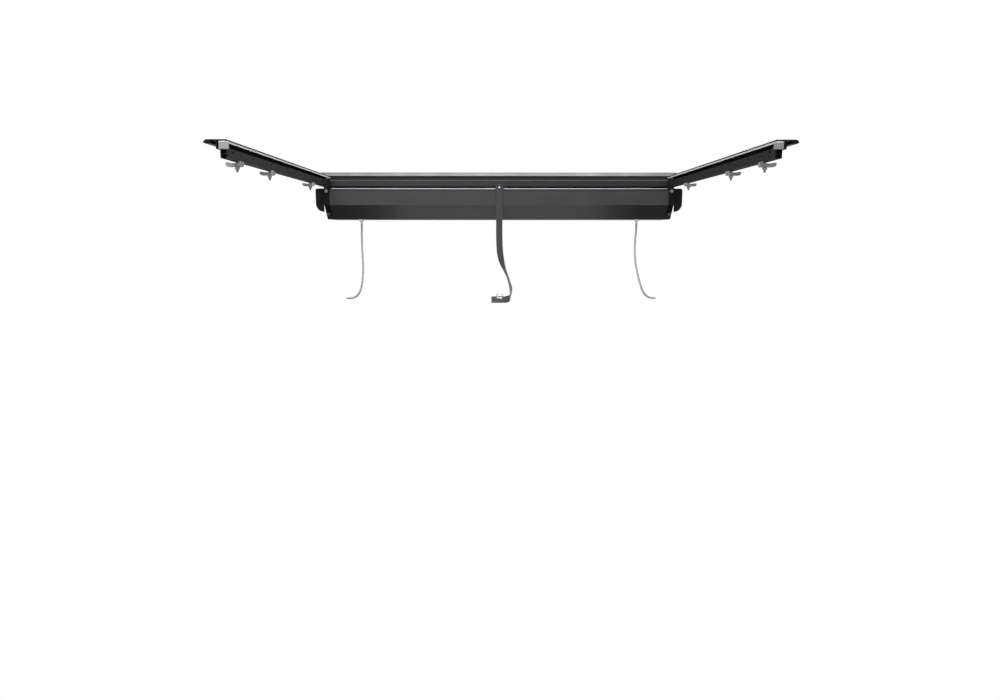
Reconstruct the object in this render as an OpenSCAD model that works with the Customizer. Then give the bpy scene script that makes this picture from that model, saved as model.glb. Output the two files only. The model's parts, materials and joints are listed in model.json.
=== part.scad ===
// Roll-up tonneau cover for a pickup bed: an aluminium slat curtain that runs in two side rails
// and winds up on spiral tracks inside a canister at the front of the bed.
// +X is the right side, +Y points to the cab, +Z is up, and z = 0 is the top of the bed caps.
// The origin is the middle of the canister's front seat on the bulkhead cap.

/* [Bed it fits] */
// Clear width between the two side rails
opening_w = 1578; // [1400:1:1900]
// Length of each side rail
rail_len = 1403; // [1160:1:1700]

/* [Rails] */
// Width of a rail's top flange
rail_flange_w = 62; // [56:1:80]
// Thickness of a rail's top flange
rail_flange_t = 3.5; // [2.8:0.1:4.5]
// Height of a rail's top face above the bed cap
rail_top = 12; // [11:0.5:15]
// Wall thickness of the rail extrusion
rail_wall = 3; // [2.5:0.1:3.6]
// Clear height of the roller channel
channel_h = 20.5; // [17:0.1:25]
// Clear depth of the roller channel
channel_w = 29; // [26:0.5:35]
// Height of the slot along the channel's inner side
mouth_h = 14; // [11.6:0.1:17]
// Height of the closed latch cell under the channel
latch_cell_h = 12; // [11:0.5:15]
// Width of the rail's lower box
web_box_w = 20; // [19:0.5:24]
// Height of the T-slot
t_slot_h = 8; // [7:0.5:10]
// Width of the T-slot's open mouth
t_slot_mouth = 9; // [8.5:0.5:10]
// Width of the rubber seal along a rail's outer edge
rail_seal_w = 6; // [4:0.5:9]
// Radius of the latch holes
latch_hole_r = 5; // [4.8:0.1:5.5]

/* [Clamps] */
// Width of a clamp along the rail
clamp_w = 30; // [24:1:40]
// Reach of a clamp's arm past the rail's inner face
clamp_reach = 40; // [38:1:45]
// Grip from the bed cap's top to a clamp's toe
clamp_grip = 44; // [43:1:50]
// Distances of the clamps from the rail's rear end
clamp_places = [112, 450, 1042];

/* [Canister] */
// Depth of the canister below the bed cap
can_drop = 185; // [165:1:225]
// Depth of the rear panel's bend below the bed cap
bend_drop = 120.25; // [112:0.25:130]
// Distance that the rear panel slopes forwards below its bend
bend_run = 62; // [40:1:70]
// Thickness of the canister's sheet
sheet_t = 2; // [1.5:0.1:2.5]
// Thickness of a canister end plate
end_t = 6; // [4:0.5:8]
// Thickness of a spiral track plate
track_t = 12; // [11:0.5:16]
// Height of the lid above its seat
lid_h = 19; // [16:0.5:24]
// Wall thickness of the lid
lid_wall = 2.5; // [2:0.1:3]
// Width of the lid's end caps
lid_cap_w = 14; // [12:0.5:18]
// Run of the lid's bevels
lid_bevel = 10; // [6:0.5:12]
// Height of the lid's upright foot, under its sloping rear face
lid_foot_h = 2; // [1:0.5:3]
// Width of the canister's front seat on the bulkhead cap
front_seat_w = 24; // [20:1:26]

/* [Curtain] */
// Width of one slat, joint to joint, before it is fitted to the rail's length
slat_w = 50; // [44:1:60]
// Thickness of a slat
slat_t = 7; // [6:0.5:8]
// Reach of a curtain section's edge into the roller channel
section_reach = 11; // [8:0.5:11]
// Overlap of two neighbouring curtain sections when the cover is shut
section_lap = 6.4; // [4:0.1:9]
// Thickness of a curtain section
section_t = 1.3; // [1:0.1:1.5]
// Pitch of the turns on the spiral tracks
turn_pitch = 14; // [12.5:0.5:16]
// Smallest radius that the slats turn on
turn_min_r = 50; // [46:1:60]

/* [Lead bar] */
// Height of the lead bar
bar_h = 31.5; // [28:0.5:36]
// Depth of the lead bar, rear face to front face
bar_d = 65; // [58:1:75]
// Wall thickness of the lead bar
bar_wall = 3; // [2.5:0.1:3.5]
// Width of a roller
roller_w = 9.6; // [8:0.1:10]
// Radius of a roller's axle
axle_r = 2.5; // [2:0.1:3]
// Stroke of a latch rod
latch_stroke = 12; // [10:0.5:13]
// Width of the pull strap
strap_w = 30; // [26:1:36]
// Diameter of a drain tube
tube_d = 9.5; // [8:0.5:12]

/* [Hidden] */
$fn = 48;

// Clearances
run_gap = 0.3;      // between a moving piece and what it runs beside
bore_gap = 0.05;    // radial, between a shaft and the bore that turns on it
guide_gap = 0.1;    // radial, between a sliding rod and its guide
mouth_gap = 0.95;   // above and below the curtain sections in the channel's mouth
edge = 1;           // small chamfer on extruded edges
cut = 1;            // how far a cutting shape runs past a face

// Rail heights, from the top down, and widths, from the rail's inner face outwards
inner_x = opening_w / 2;
channel_top = rail_top - rail_flange_t;
shelf_z = channel_top - channel_h;
mouth_top = shelf_z + mouth_h;
cell_top = shelf_z - rail_wall;
cell_z = cell_top - latch_cell_h;
slot_top = cell_z - rail_wall;
slot_z = slot_top - t_slot_h;
rail_z = slot_z - rail_wall;
web_in = web_box_w - rail_wall;
slot_u = web_box_w / 2;
pad_w = 15;
strip_t = 1.2;
strip_h = 5;
latch_z = cell_top - latch_cell_h / 2;

// Motion: seven nested sections share the travel, and the first one goes the whole way
sections = 7;
travel_short = 13;
travel = rail_len - travel_short;
step = travel / sections;
section_len = step + section_lap;
section_slats = round(step / slat_w);
slat_pitch = step / section_slats;
stack_t = sections * section_t;
level_gap = (mouth_h - 2 * mouth_gap - stack_t) / (sections - 1);
level_step = section_t + level_gap;
section_top = mouth_top - mouth_gap;
section_x = inner_x + section_reach;

// Canister, front to back
can_front = -front_seat_w / 2;
can_front_in = can_front - sheet_t;
section_front = can_front - 5;
section_back = section_front - section_len;
bar_front = section_back - 3;
bar_back = bar_front - bar_d;
can_back = bar_back + 3;
can_back_in = can_back + sheet_t;
rail_front = can_back;
rail_back = rail_front - rail_len;
can_floor = -can_drop;
can_floor_in = can_floor + sheet_t;
bend_z = -bend_drop;
lip_z = rail_z - 2;
lip_h = 5;
lip_t = 3;
track_in = inner_x + 14;
end_in = track_in + track_t;
end_out = end_in + end_t;
seat_t = 3;
end_seat_x = inner_x + rail_flange_w;
lid_x = end_out + lid_cap_w;
lid_back = can_back + 5;
lid_front = front_seat_w / 2 + 3;
lid_top = rail_top + lid_h;
wiper_grip = 3;     // height of the wiper against the lid's rear wall
lid_screw_x = end_out + lid_cap_w / 2;
lid_screw_y = [lid_back + 45, can_front - 40];

// Spiral: half turns about a front and a rear centre, each half a pitch smaller than the last
half_pitch = turn_pitch / 2;
coil_side = 2.5;
coil_top = shelf_z + 6;
coil_low = can_floor_in + 17;
coil_r = (coil_top - coil_low) / 2;
front_y = can_front_in - coil_side - slat_t / 2 - coil_r;
front_z = coil_low + coil_r;
rear_z = front_z - half_pitch;
// The rear turns pass the lead bar's lower front corner with this much room
bar_gap = 2;
half_turns = floor((coil_r - turn_min_r) / half_pitch) + 1;
coil_start = 40;
slat_end = 2;
slat_nose = 1.5;
slat_skin = 1.4;
guide_r = 3.5;
guide_len = 8.5;
groove_r = guide_r + 0.5;
groove_d = 6;

// Lead bar and its lock
bar_drop = 4.2;
bar_top = section_top - section_t - bar_drop;
bar_z = bar_top - bar_h;
bar_x = inner_x - 2.5;
bar_y = (bar_back + bar_front) / 2;
rear_y = bar_front + sqrt(pow(coil_r - half_pitch + slat_t / 2 + bar_gap, 2) - pow(bar_z - rear_z, 2));
coil_run = front_y - rear_y;
end_plate_t = 1.9;
plug_len = 20;
roller_r = (channel_h - 2.1) / 2;
roller_z = shelf_z + run_gap + roller_r;
roller_x = inner_x + 14.6;
roller_y = [bar_y - 15.5, bar_y + 14.5];
arm_out = roller_x - 1.1;
arm_top = mouth_top - 0.8;
arm_z = shelf_z + 3;
axle_head_r = 4;
axle_fit = 6;
lock_r = 11;
plug_r = 7;
cam_r = 14;
cam_t = 3;
pin_r = 3;
pin_orbit = latch_stroke / sqrt(2);
rod_w = 20;
rod_t = 4;
rod_tip_r = latch_hole_r - 0.5;
rod_end = bar_x - 1.5;
tab_w = 40;
tab_t = 2;
strap_t = 2;
rivet_z = rail_z;
rivet_r = 2.5;
rivet_head_r = 5.5;

// Fasteners
bolt_r = 4;
hex_r = 7.5;
washer_r = 8;
washer_t = 1.6;
head_h = 5.4;
nut_h = 8;
screw_r = 2;
screw_head_r = 4.5;
screw_head_h = 2.4;

// Corner brackets, at the canister's ends
bracket_in = inner_x + 8;
bracket_out = inner_x + 71;
bracket_t = 3;
bolt_x = track_in + 6;
bracket_bolt_z = rail_z - 14.5;
outer_bolt_x = bracket_out - 22;
outer_bolt_z = lip_z - 55;

// Drains
drain_x = inner_x - 128;
drain_y = bar_y + 45;
drain_neck_r = 8;
drain_flange_r = 10;
drain_nut_r = 11;
drain_nut_h = 6.5;
drain_flange_t = 2.5;
drain_out = can_floor - 21;

// Routes of the flexible pieces: x, y, z of each point
drain_left = [
    [-661, -212, -206], [-661, -212, -226], [-662, -212, -250], [-662, -212, -280],
    [-662, -212, -310], [-661, -212, -340], [-660, -212, -370], [-659, -212, -398],
    [-659, -212, -424], [-661, -212, -450], [-664, -212, -476], [-669, -211, -502],
    [-676, -210, -526], [-687, -208, -545], [-703, -205, -558], [-724, -203, -564],
    [-746, -202, -564]
];
drain_right = [
    [661, -212, -206], [661, -212, -226], [660, -212, -250], [658, -212, -280],
    [657, -212, -310], [657, -212, -338], [659, -212, -366], [662, -212, -392],
    [667, -211, -418], [673, -211, -444], [680, -210, -470], [688, -210, -496],
    [697, -209, -520], [709, -207, -541], [725, -205, -556], [745, -203, -563],
    [766, -202, -564]
];
// The strap's points also hold the direction of its width and its thickness
strap = [
    [0, -293, -35, 1, 0, 0, 2], [0, -293, -80, 1, 0, 0, 2], [0, -293, -125, 1, 0, 0, 2],
    [0, -293, -170, 1, 0, 0, 2], [0, -293, -215, 1, 0, 0, 2], [0, -294, -258, 20, -1, 0, 2],
    [1, -295, -298, 10, -1, 0, 2], [3, -297, -334, 10, -2, 0, 2], [8, -300, -367, 9, -4, 0, 2],
    [16, -305, -396, 7, -7, 0, 2], [27, -313, -424, 4, -9, 1, 2], [38, -325, -452, 2, -9, 3, 2],
    [47, -341, -480, 2, -8, 5, 2], [53, -361, -505, 3, -7, 5, 2], [55, -384, -526, 3, -6, 7, 2],
    [52, -406, -540, 2, -4, 9, 2], [43, -421, -549, 0, -1, 9, 4], [29, -428, -553, 0, 1, 9, 5],
    [12, -431, -553, 0, 2, 9, 5], [-5, -432, -553, 0, 3, 9, 5], [-21, -432, -553, 0, 3, 9, 5],
    [-37, -432, -553, 0, 3, 9, 5]
];
ring_at = [1, -431, -546];
ring_r = 14;
ring_leg = 7;
ring_wire = 2;

// Turns a flat outline of [x, z] points into a solid from y0 to y1
module along_y(y0, y1) {
    translate([0, y1, 0]) rotate([90, 0, 0]) linear_extrude(height = y1 - y0) children();
}

// Turns a flat outline of [y, z] points into a solid from x0 to x1
module along_x(x0, x1) {
    translate([x0, 0, 0]) rotate([90, 0, 90]) linear_extrude(height = x1 - x0) children();
}

// Draws its children on the right side, or mirrored on the left one
module on_side(side) {
    if (side > 0) children();
    else mirror([1, 0, 0]) children();
}

module box(low, high) {
    translate(low) cube(high - low);
}

module rod_x(r, x0, x1, y, z) {
    translate([x0, y, z]) rotate([0, 90, 0]) cylinder(r = r, h = x1 - x0);
}

module rod_y(r, y0, y1, x, z) {
    translate([x, y1, z]) rotate([90, 0, 0]) cylinder(r = r, h = y1 - y0);
}

module rod_z(r, z0, z1, x, y) {
    translate([x, y, z0]) cylinder(r = r, h = z1 - z0);
}

// A rail's outline in [u, z], where u runs outwards from the rail's inner face
rail_outline = [
    [edge, rail_top], [rail_flange_w - edge, rail_top], [rail_flange_w, rail_top - edge],
    [rail_flange_w, 0], [rail_flange_w - pad_w, 0], [rail_flange_w - pad_w, channel_top],
    [channel_w + rail_wall, channel_top], [channel_w + rail_wall, cell_top], [web_box_w, cell_top],
    [web_box_w, rail_z], [slot_u + t_slot_mouth / 2, rail_z], [slot_u + t_slot_mouth / 2, slot_z],
    [web_in, slot_z], [web_in, slot_top], [rail_wall, slot_top], [rail_wall, slot_z],
    [slot_u - t_slot_mouth / 2, slot_z], [slot_u - t_slot_mouth / 2, rail_z], [0, rail_z],
    [0, shelf_z], [channel_w, shelf_z], [channel_w, channel_top], [rail_wall, channel_top],
    [rail_wall, mouth_top], [strip_t, mouth_top], [strip_t, mouth_top + strip_h],
    [0, mouth_top + strip_h], [0, rail_top - edge]
];

module rail(side) {
    color("#1b1c1e") on_side(side) difference() {
        along_y(rail_back, rail_front) translate([inner_x, 0]) polygon(rail_outline);
        along_y(rail_back - cut, rail_front + cut) translate([inner_x + rail_wall, cell_z])
            square([web_in - rail_wall, latch_cell_h]);
        for (k = [1:sections])
            rod_x(latch_hole_r, inner_x - cut, inner_x + rail_wall + cut, bar_y - k * step, latch_z);
    }
}

module rail_strip(side) {
    color("#d9dbdd") on_side(side)
        box([inner_x, rail_back, mouth_top], [inner_x + strip_t, rail_front, mouth_top + strip_h]);
}

module rail_seal(side) {
    color("#141414") on_side(side) along_y(rail_back, rail_front)
        translate([inner_x + rail_flange_w, 0]) polygon([
            [0, 2], [rail_seal_w / 2, 1], [rail_seal_w, 3.5], [rail_seal_w - 1.5, 8], [0, rail_top - 1.5]
        ]);
}

module rail_end_cap(side) {
    plug_l = 8;
    plate_t = 3;
    plate_in = inner_x - 6;
    plate_out = inner_x + 23;
    color("#a9abad") on_side(side) {
        box([plate_in, rail_back - plate_t, shelf_z - 4], [plate_out, rail_back, mouth_top + 3]);
        box([inner_x + rail_wall + run_gap, rail_back, shelf_z],
            [plate_out, rail_back + plug_l, channel_top]);
    }
}

// A clamp is a cast arm: its heel bears on the rail's underside and its toe under the bed cap's flange
module clamp(side, place) {
    arm_h = 10;
    toe_w = 9;
    heel_h = 5;
    arm_top = rail_z - heel_h;
    arm_low = arm_top - arm_h;
    heel_u = -4;
    rib_w = 5;
    y0 = rail_back + place - clamp_w / 2;
    color("#c4c6c8") on_side(side) difference() {
        union() {
            along_y(y0, y0 + clamp_w) translate([inner_x, 0]) polygon([
                [heel_u + 2, arm_low], [clamp_reach - 4, arm_low], [clamp_reach, arm_low + 4],
                [clamp_reach, -clamp_grip], [clamp_reach - toe_w, -clamp_grip],
                [clamp_reach - toe_w, arm_top], [slot_u - bolt_r - 1, arm_top],
                [slot_u - bolt_r - 1, rail_z], [heel_u, rail_z], [heel_u, arm_low + 2]
            ]);
            for (rib = [0, clamp_w - rib_w])
                box([inner_x + heel_u - 2, y0 + rib, arm_low + 3],
                    [inner_x + heel_u, y0 + rib + rib_w, rail_z - 1]);
        }
        rod_z(bolt_r + 0.5, arm_low - cut, rail_z + cut, inner_x + slot_u, y0 + clamp_w / 2);
    }
}

module clamp_bolts() {
    head_w = 13;
    head_l = 20;
    head_t = 5;
    bolt_end = rail_z - 31;
    color("#b9bbbe") for (side = [-1, 1], place = clamp_places) on_side(side) {
        y = rail_back + place;
        rod_z(bolt_r, bolt_end, slot_z, inner_x + slot_u, y);
        box([inner_x + slot_u - head_w / 2, y - head_l / 2, slot_z],
            [inner_x + slot_u + head_w / 2, y + head_l / 2, slot_z + head_t]);
    }
}

module clamp_nuts() {
    nut_top = rail_z - 15;
    color("#cfd1d3") for (side = [-1, 1], place = clamp_places) on_side(side)
        translate([inner_x + slot_u, rail_back + place, nut_top - nut_h]) difference() {
            cylinder(r = hex_r, h = nut_h, $fn = 6);
            translate([0, 0, -cut]) cylinder(r = bolt_r, h = nut_h + 2 * cut);
        }
}

module canister_front_panel() {
    color("#1d1e20") {
        box([-end_in, can_front_in, can_floor], [end_in, can_front, rail_top]);
        box([-end_in, can_front, 0], [end_in, front_seat_w / 2, seat_t]);
    }
}

// The rear panel's sheet, straight down to the bend and then sloping forwards
bend_dir = [bend_run, can_floor - bend_z] / norm([bend_run, can_floor - bend_z]);
bend_in = [-bend_dir[1], bend_dir[0]] * sheet_t;
slope_rate = bend_dir[1] / bend_dir[0];
slope_foot = can_back + bend_run;
slope_in_top = bend_z + bend_in[1] + (sheet_t - bend_in[0]) * slope_rate;
slope_in_foot = can_back + bend_in[0] + (can_floor_in - bend_z - bend_in[1]) / slope_rate;
tray_back = slope_foot + 2;

module canister_rear_panel() {
    color("#242527") difference() {
        along_x(-end_in, end_in) polygon([
            [can_back, lip_z], [can_back, bend_z], [slope_foot, can_floor], [tray_back, can_floor],
            [tray_back, can_floor_in], [slope_in_foot, can_floor_in], [can_back_in, slope_in_top],
            [can_back_in, lip_z]
        ]);
        for (side = [-1, 1]) on_side(side) {
            rod_y(bolt_r, can_back - cut, can_back_in + cut, bolt_x, bracket_bolt_z);
            slope_bolt() rod_z(bolt_r, -cut, sheet_t + cut, 0, 0);
        }
    }
}

module canister_bottom_tray() {
    color("#1d1e20") difference() {
        box([-end_in, tray_back, can_floor], [end_in, can_front_in, can_floor_in]);
        for (side = [-1, 1])
            rod_z(drain_neck_r, can_floor - cut, can_floor_in + cut, side * drain_x, drain_y);
    }
}

module canister_lip() {
    color("#8d9093") box([-inner_x - 3, can_back - lip_t, lip_z - lip_h], [inner_x + 3, can_back, lip_z]);
}

module canister_end(side) {
    color("#191a1c") on_side(side) {
        along_x(end_in, end_out) polygon([
            [can_back, bend_z], [slope_foot, can_floor], [can_front, can_floor], [can_front, rail_top],
            [lid_back, rail_top], [lid_back, 0], [can_back, 0]
        ]);
        box([end_out, lid_back, 0], [end_seat_x, can_front, seat_t]);
        box([end_out, lid_back, rail_top - seat_t], [lid_x, can_front, rail_top]);
    }
}

function turn_r(k) = coil_r - k * half_pitch;

// A point of the spiral, [y, z], at a distance s along it; half turn k is followed by a straight run
function coil_point(s, k = 0) =
    let (r = turn_r(k), arc = PI * r, back = k % 2, c = back ? [rear_y, rear_z] : [front_y, front_z],
         a = (back ? -90 : 90) - s / r * 180 / PI, d = s - arc)
    s <= arc ? c + r * [cos(a), sin(a)]
    : d <= coil_run ? c + (back ? [d, r] : [-d, -r])
    : coil_point(d - coil_run, k + 1);

// Length of the spiral up to the end of half turn k
function coil_length(k) = k < 0 ? 0 : coil_length(k - 1) + PI * turn_r(k) + (k > 0 ? coil_run : 0);

coil_first = coil_r * coil_start * PI / 180;
stored = floor((coil_length(half_turns - 1) - coil_first) / slat_pitch);
pivots = [for (i = [0:stored]) coil_point(coil_first + i * slat_pitch)];

// Grooves of one spiral track, as cutting shapes in the plane of the plate
module coil_groove(x0, x1) {
    for (k = [0:half_turns - 1]) {
        r = turn_r(k);
        back = k % 2;
        c = back ? [rear_y, rear_z] : [front_y, front_z];
        translate([x0, c[0], c[1]]) rotate([90, 0, 90]) rotate([0, 0, back ? 90 : -90])
            rotate_extrude(angle = 180) translate([r - groove_r, 0]) square([2 * groove_r, x1 - x0]);
        if (k < half_turns - 1)
            translate([0, 0, c[1] + (back ? r : -r)]) box([x0, rear_y, -groove_r], [x1, front_y, groove_r]);
    }
    end = coil_point(coil_length(half_turns - 1));
    rod_x(groove_r, x0, x1, end[0], end[1]);
}

module spiral_track(side) {
    color("#e4e2da") on_side(side) difference() {
        along_x(track_in, end_in) polygon([
            [can_back_in, shelf_z], [can_back_in, slope_in_top], [slope_in_foot, can_floor_in],
            [can_front_in, can_floor_in], [can_front_in, shelf_z]
        ]);
        coil_groove(track_in - cut, track_in + groove_d);
        rod_y(bolt_r, can_back, can_back + 15, bolt_x, bracket_bolt_z);
        slope_bolt() rod_z(bolt_r, 0, 15, 0, 0);
    }
}

slope_bolt_z = bend_z - 38.2;
slope_bolt_y = can_back + (slope_bolt_z - bend_z) / slope_rate;

// Puts a shape at the lower bracket bolt, with +Z pointing into the canister across the sloping sheet
module slope_bolt() {
    translate([bolt_x, slope_bolt_y, slope_bolt_z])
        rotate([atan2(-bend_in[0], bend_in[1]), 0, 0]) children();
}

module corner_bracket(side) {
    foot_z = can_floor + 18;
    wing_z = bend_z - 30;
    foot_y = can_back + (foot_z - bend_z) / slope_rate;
    skin = bend_in / sheet_t * bracket_t;
    color("#161618") on_side(side) difference() {
        union() {
            along_y(can_back - bracket_t, can_back) polygon(concat(
                [[bracket_in, bend_z], [bracket_in, lip_z - 1], [bracket_out - 10, lip_z - 1]],
                [for (a = [75:-15:0]) [bracket_out - 10 + 10 * cos(a), lip_z - 11 + 10 * sin(a)]],
                [for (a = [0:-15:-60]) [bracket_out - 40 + 40 * cos(a), wing_z + 37 + 40 * sin(a)]],
                [[end_out, wing_z - 2], [end_out, bend_z]]
            ));
            along_x(bracket_in, end_in) polygon([
                [can_back, bend_z], [can_back - bracket_t, bend_z],
                [foot_y - skin[0], foot_z - skin[1]], [foot_y, foot_z]
            ]);
        }
        rod_y(bolt_r, can_back - bracket_t - cut, can_back + cut, bolt_x, bracket_bolt_z);
        rod_y(bolt_r, can_back - bracket_t - cut, can_back + cut, outer_bolt_x, outer_bolt_z);
        slope_bolt() rod_z(bolt_r, -bracket_t - cut, cut, 0, 0);
    }
}

// A hexagon bolt with its washer; its seat is at z = 0 and its head points down
module hex_bolt(shank) {
    rod_z(washer_r, -washer_t, 0, 0, 0);
    translate([0, 0, -washer_t - head_h]) cylinder(r = hex_r, h = head_h, $fn = 6);
    rod_z(bolt_r, -washer_t, shank, 0, 0);
}

module bracket_bolts() {
    bolt_in = 14;
    color("#d0d2d4") for (side = [-1, 1]) on_side(side) {
        translate([bolt_x, can_back - bracket_t, bracket_bolt_z]) rotate([-90, 0, 0])
            hex_bolt(bolt_in + bracket_t);
        slope_bolt() translate([0, 0, -bracket_t]) hex_bolt(bolt_in + bracket_t);
        translate([outer_bolt_x, can_back - bracket_t, outer_bolt_z]) rotate([-90, 0, 0])
            hex_bolt(bracket_t + 6);
    }
}

lid_outline = [
    [lid_back, rail_top], [lid_back, rail_top + lid_foot_h], [lid_back + lid_bevel, lid_top],
    [lid_front - lid_bevel, lid_top], [lid_front, lid_top - lid_bevel / 2], [lid_front, rail_top]
];

module lid() {
    color("#2a2b2d") along_x(-end_out, end_out) polygon(concat(lid_outline, [
        [lid_front - lid_wall, rail_top], [lid_front - lid_wall, lid_top - lid_bevel / 2 - 1.2],
        [lid_front - lid_bevel - 0.6, lid_top - lid_wall],
        [lid_back + lid_bevel + 1.4, lid_top - lid_wall],
        [lid_back + lid_wall, rail_top + wiper_grip], [lid_back + lid_wall, rail_top]
    ]));
}

module lid_end_cap(side) {
    color("#202123") on_side(side) difference() {
        along_x(end_out, lid_x) polygon(lid_outline);
        for (y = lid_screw_y) {
            rod_z(screw_r, rail_top - cut, lid_top + cut, lid_screw_x, y);
            rod_z(screw_head_r + 0.3, lid_top - screw_head_h, lid_top + cut, lid_screw_x, y);
        }
    }
}

module lid_screws() {
    color("#8c8f92") for (side = [-1, 1], y = lid_screw_y) on_side(side) {
        rod_z(screw_r, rail_top, lid_top - screw_head_h, lid_screw_x, y);
        difference() {
            rod_z(screw_head_r, lid_top - screw_head_h, lid_top - 0.2, lid_screw_x, y);
            rod_z(screw_r - 0.3, lid_top - 1.4, lid_top + cut, lid_screw_x, y);
        }
    }
}

module lid_wiper() {
    color("#101010") box([-section_x, lid_back + lid_wall, mouth_top],
        [section_x, lid_back + 2 * lid_wall, rail_top + wiper_grip]);
}

// One stored slat: a flat hollow profile between two pivots of the spiral
module stored_slat(from, to) {
    mid = (from + to) / 2;
    half = slat_pitch / 2 - slat_end + 0.2;
    h = slat_t / 2;
    color("#2b2c2e") translate([-section_x, mid[0], mid[1]]) rotate([90, 0, 90])
        rotate([0, 0, atan2(to[1] - from[1], to[0] - from[0])]) linear_extrude(height = 2 * section_x)
            difference() {
                polygon([
                    [-half, -slat_nose], [3 - half, -h], [half - 3, -h], [half, -slat_nose],
                    [half, slat_nose], [half - 3, h], [3 - half, h], [-half, slat_nose]
                ]);
                for (s = [-1, 1]) translate([s * half / 2, 0])
                    square([half - 2 * slat_skin - 3, slat_t - 2 * slat_skin], center = true);
            }
}

module stored_slats() {
    for (i = [0:stored - 1]) stored_slat(pivots[i], pivots[i + 1]);
}

module slat_guides() {
    color("#e8e6de") for (side = [-1, 1], p = pivots) on_side(side)
        rod_x(guide_r, section_x, section_x + guide_len, p[0], p[1]);
}

module drain_fittings() {
    color("#e6e6e2") for (side = [-1, 1]) translate([side * drain_x, drain_y, 0]) difference() {
        union() {
            rod_z(drain_flange_r, can_floor_in, can_floor_in + drain_flange_t, 0, 0);
            rod_z(drain_neck_r, can_floor, can_floor_in, 0, 0);
            rod_z(drain_nut_r + 2, can_floor - drain_flange_t, can_floor, 0, 0);
            translate([0, 0, can_floor - drain_flange_t - drain_nut_h])
                cylinder(r = drain_nut_r, h = drain_nut_h, $fn = 6);
            rod_z(6, drain_out, can_floor - drain_flange_t - drain_nut_h, 0, 0);
        }
        rod_z(3, drain_out + 3, can_floor_in + drain_flange_t + cut, 0, 0);
    }
}

function unit(v) = v / norm(v);

// Direction of a route at point i
function heading(route, i) =
    let (a = route[max(i - 1, 0)], b = route[min(i + 1, len(route) - 1)])
    unit([b[0] - a[0], b[1] - a[1], b[2] - a[2]]);

// One ring of a swept solid: the outline's points set across the route's direction
function ring_points(p, ahead, wide, outline) =
    let (w = unit(wide - (wide * ahead) * ahead), n = cross(ahead, w))
    [for (q = outline) p + q[0] * w + q[1] * n];

// A closed solid through rings of points that all hold as many points
module swept(rings) {
    n = len(rings[0]);
    last = len(rings) - 1;
    sides = [for (i = [0:last - 1], j = [0:n - 1]) each [
        [i * n + j, i * n + (j + 1) % n, (i + 1) * n + j],
        [i * n + (j + 1) % n, (i + 1) * n + (j + 1) % n, (i + 1) * n + j]
    ]];
    ends = [[for (j = [n - 1:-1:0]) j], [for (j = [0:n - 1]) last * n + j]];
    polyhedron(points = [for (r = rings) each r], faces = concat(sides, ends), convexity = 8);
}

module drain_tube(route) {
    round_8 = [for (a = [0:45:315]) tube_d / 2 * [cos(a), sin(a)]];
    color("#c9cbc6") swept([for (i = [0:len(route) - 1])
        ring_points(route[i], i == 0 ? [0, 0, -1] : heading(route, i), [0, 1, 0], round_8)]);
}

function strap_section(t) = [
    [strap_w / 2, t / 5], [strap_w / 2 - 1, t / 2], [1 - strap_w / 2, t / 2], [-strap_w / 2, t / 5],
    [-strap_w / 2, -t / 5], [1 - strap_w / 2, -t / 2], [strap_w / 2 - 1, -t / 2], [strap_w / 2, -t / 5]
];

module pull_strap() {
    color("#26272a") swept([for (i = [0:len(strap) - 1])
        let (s = strap[i])
        ring_points([s[0], s[1], s[2]], i == 0 ? [0, 0, -1] : heading(strap, i), [s[3], s[4], s[5]],
            strap_section(s[6]))]);
}

module strap_ring() {
    color("#c8cacc") translate(ring_at) {
        translate([0, 0, ring_leg]) rotate([90, 0, 0]) rotate_extrude(angle = 180)
            translate([ring_r, 0]) circle(r = ring_wire, $fn = 16);
        for (s = [-1, 1]) rod_z(ring_wire, 0, ring_leg, s * ring_r, 0);
        rod_x(ring_wire, -ring_r, ring_r, 0, 0);
        for (s = [-1, 1]) translate([s * ring_r, 0, 0]) sphere(r = ring_wire, $fn = 16);
    }
}

module lead_bar() {
    nose = 3;
    color("#202123") difference() {
        union() {
            along_x(-bar_x, bar_x) polygon([
                [bar_back, bar_z + nose], [bar_back + nose, bar_z], [bar_front, bar_z],
                [bar_front, bar_top], [bar_back + nose, bar_top], [bar_back, bar_top - nose]
            ]);
            box([-tab_w / 2, bar_back - tab_t, rivet_z - 7], [tab_w / 2, bar_back, bar_z + 10]);
        }
        along_x(-bar_x - cut, bar_x + cut) translate([bar_back + bar_wall, bar_z + bar_wall])
            square([bar_d - 2 * bar_wall, bar_h - 2 * bar_wall]);
        rod_z(lock_r, bar_top - bar_wall - cut, bar_top + cut, 0, bar_y);
        rod_y(rivet_r, bar_back - tab_t - cut, bar_back + cut, 0, rivet_z);
    }
}

module bar_seal() {
    bulb = 2.6;
    at = bar_back + 6;
    color("#0f0f0f") along_x(-bar_x + 6, bar_x - 6) union() {
        translate([at - 2.2, bar_top]) square([4.4, 3]);
        translate([at, bar_top + 3]) circle(r = bulb, $fn = 24);
    }
}

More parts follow.
